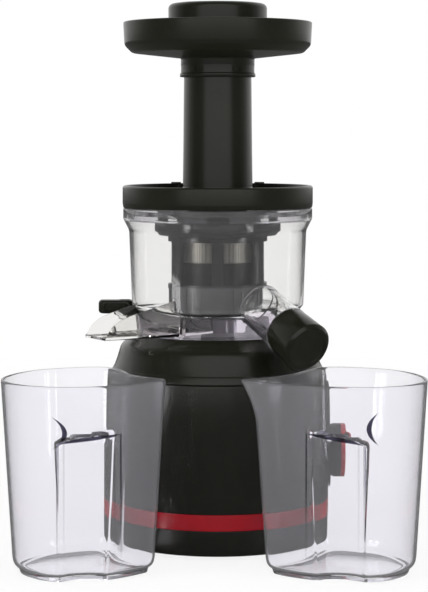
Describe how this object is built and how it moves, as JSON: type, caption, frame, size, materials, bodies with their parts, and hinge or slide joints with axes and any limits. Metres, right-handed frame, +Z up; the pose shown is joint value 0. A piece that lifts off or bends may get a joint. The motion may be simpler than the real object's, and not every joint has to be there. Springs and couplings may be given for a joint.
{
  "type": "cold press juicer",
  "caption": "Upright slow juicer with a round motor base, clear bowl, spout and pulp chute, feed tube with tray and pusher, and cups for juice and pulp.",
  "frame": {"origin": "middle of the foot ring, on the table, on the axis of the base, bowl and auger", "axes": "+Z up, -Y towards the user, where spout and chute point; +X is the knob's side"},
  "size_m": [0.301, 0.2503, 0.4089],
  "materials": {
    "black_plastic": "satin, fine moulded texture",
    "red_plastic": "gloss",
    "clear_plastic": "clear, polished",
    "dark_plastic": "gloss",
    "grey_plastic": "satin",
    "white_plastic": "satin, low friction",
    "silicone": "matte silicone",
    "rubber": "matte",
    "steel": "turned",
    "lamination": "stacked laminations",
    "copper": "enamelled copper wire",
    "board": "solder mask"
  },
  "bodies": {
    "base": {"foot_ring": "rubber", "bottom_plate": "black_plastic", "base_housing": "black_plastic", "colour_band": "red_plastic", "shoulder_cover": "black_plastic", "switch_pod": "black_plastic", "rotary_switch": "grey_plastic", "cord_inlet": "rubber", "control_board": "board", "base_screws": "steel", "motor_case": "steel", "stator_core": "lamination", "stator_windings": "copper", "gearbox_case": "grey_plastic", "gearbox_cover": "grey_plastic", "gearbox_screws": "steel", "countershaft_pin": "steel", "shaft_bearing": "steel", "drive_hub": "grey_plastic", "shaft_seal": "silicone"},
    "knob": {"control_knob": "black_plastic", "knob_ring": "red_plastic"},
    "motor": {"motor_rotor": "steel", "cooling_fan": "white_plastic"},
    "countershaft": {"intermediate_gear": "white_plastic"},
    "drive": {"output_gear": "white_plastic", "output_shaft": "steel"},
    "bowl": {"juicing_bowl": "clear_plastic", "bowl_floor": "clear_plastic", "bowl_collar": "clear_plastic", "lever_bracket": "clear_plastic", "pulp_chute": "clear_plastic", "juice_spout": "clear_plastic", "bowl_seal": "silicone", "idler_pins": "steel", "strainer_frame": "dark_plastic", "strainer_plate": "dark_plastic", "strainer_funnel": "dark_plastic", "pulp_port": "dark_plastic", "strainer_screen": "steel", "spout_seal": "silicone", "lever_screw": "steel"},
    "idler_left": {"idler_gear_left": "white_plastic"},
    "idler_right": {"idler_gear_right": "white_plastic"},
    "wiper": {"wiper_basket": "dark_plastic", "wiper_blades": "silicone"},
    "auger": {"auger": "dark_plastic"},
    "spout_cap": {"spout_cap": "black_plastic"},
    "pulp_lever": {"pulp_lever": "black_plastic"},
    "lid": {"lid": "black_plastic", "lid_rings": "black_plastic", "feed_tube": "black_plastic", "lid_gasket": "silicone", "auger_bush": "steel"},
    "tray": {"feed_tray": "black_plastic", "tray_collar": "black_plastic"},
    "pusher": {"pusher_cap": "black_plastic", "pusher_stem": "black_plastic"},
    "pulp_cup": {"pulp_cup": "clear_plastic"},
    "juice_cup": {"juice_cup": "clear_plastic"}
  },
  "joints": [
    {"name": "knob_turn", "type": "hinge", "parent": "base", "child": "knob", "pos_m": [0.084, 0, 0.0675], "axis": [1, 0, 0], "range_deg": [-60, 60]},
    {"name": "motor_spin", "type": "hinge", "parent": "base", "child": "motor", "pos_m": [0, 0, 0.05], "axis": [0, 0, 1], "continuous": true},
    {"name": "countershaft_spin", "type": "hinge", "parent": "base", "child": "countershaft", "pos_m": [0, 0.035, 0.095], "axis": [0, 0, 1], "continuous": true},
    {"name": "drive_spin", "type": "hinge", "parent": "base", "child": "drive", "pos_m": [0, 0, 0.12], "axis": [0, 0, 1], "continuous": true},
    {"name": "bowl_lift", "type": "slide", "parent": "base", "child": "bowl", "axis": [0, 0, 1], "range_m": [0, 0.06]},
    {"name": "idler_left_spin", "type": "hinge", "parent": "bowl", "child": "idler_left", "pos_m": [-0.01021, 0.02005, 0.177], "axis": [0, 0, 1], "continuous": true},
    {"name": "idler_right_spin", "type": "hinge", "parent": "bowl", "child": "idler_right", "pos_m": [0.02247, -0.00119, 0.177], "axis": [0, 0, 1], "continuous": true},
    {"name": "wiper_spin", "type": "hinge", "parent": "bowl", "child": "wiper", "pos_m": [0, 0, 0.2], "axis": [0, 0, 1], "continuous": true},
    {"name": "auger_spin", "type": "hinge", "parent": "bowl", "child": "auger", "pos_m": [0, 0, 0.2], "axis": [0, 0, 1], "continuous": true},
    {"name": "spout_cap_turn", "type": "hinge", "parent": "bowl", "child": "spout_cap", "pos_m": [0, 0, 0.2047], "axis": [0.5075, -0.7696, -0.3875], "range_deg": [0, 180]},
    {"name": "pulp_lever_turn", "type": "hinge", "parent": "bowl", "child": "pulp_lever", "pos_m": [-0.0715, 0.016, 0.17], "axis": [0, 0, 1], "range_deg": [-60, 0]},
    {"name": "lid_lift", "type": "slide", "parent": "bowl", "child": "lid", "axis": [0, 0, 1], "range_m": [0, 0.03]},
    {"name": "tray_lift", "type": "slide", "parent": "lid", "child": "tray", "axis": [0, 0, 1], "range_m": [0, 0.03]},
    {"name": "pusher_lift", "type": "slide", "parent": "tray", "child": "pusher", "axis": [0, 0, 1], "range_m": [0, 0.13]},
    {"name": "pulp_cup_slide", "type": "slide", "parent": "base", "child": "pulp_cup", "axis": [0, -1, 0], "range_m": [0, 0.15]},
    {"name": "juice_cup_slide", "type": "slide", "parent": "base", "child": "juice_cup", "axis": [0, -1, 0], "range_m": [0, 0.15]}
  ],
  "couplings": [
    {"joint": "drive_spin", "follows": "auger_spin", "ratio": 1},
    {"joint": "countershaft_spin", "follows": "auger_spin", "ratio": -4},
    {"joint": "motor_spin", "follows": "auger_spin", "ratio": 16},
    {"joint": "idler_left_spin", "follows": "auger_spin", "ratio": -0.875},
    {"joint": "idler_right_spin", "follows": "auger_spin", "ratio": -0.875},
    {"joint": "wiper_spin", "follows": "auger_spin", "ratio": -0.30435}
  ]
}
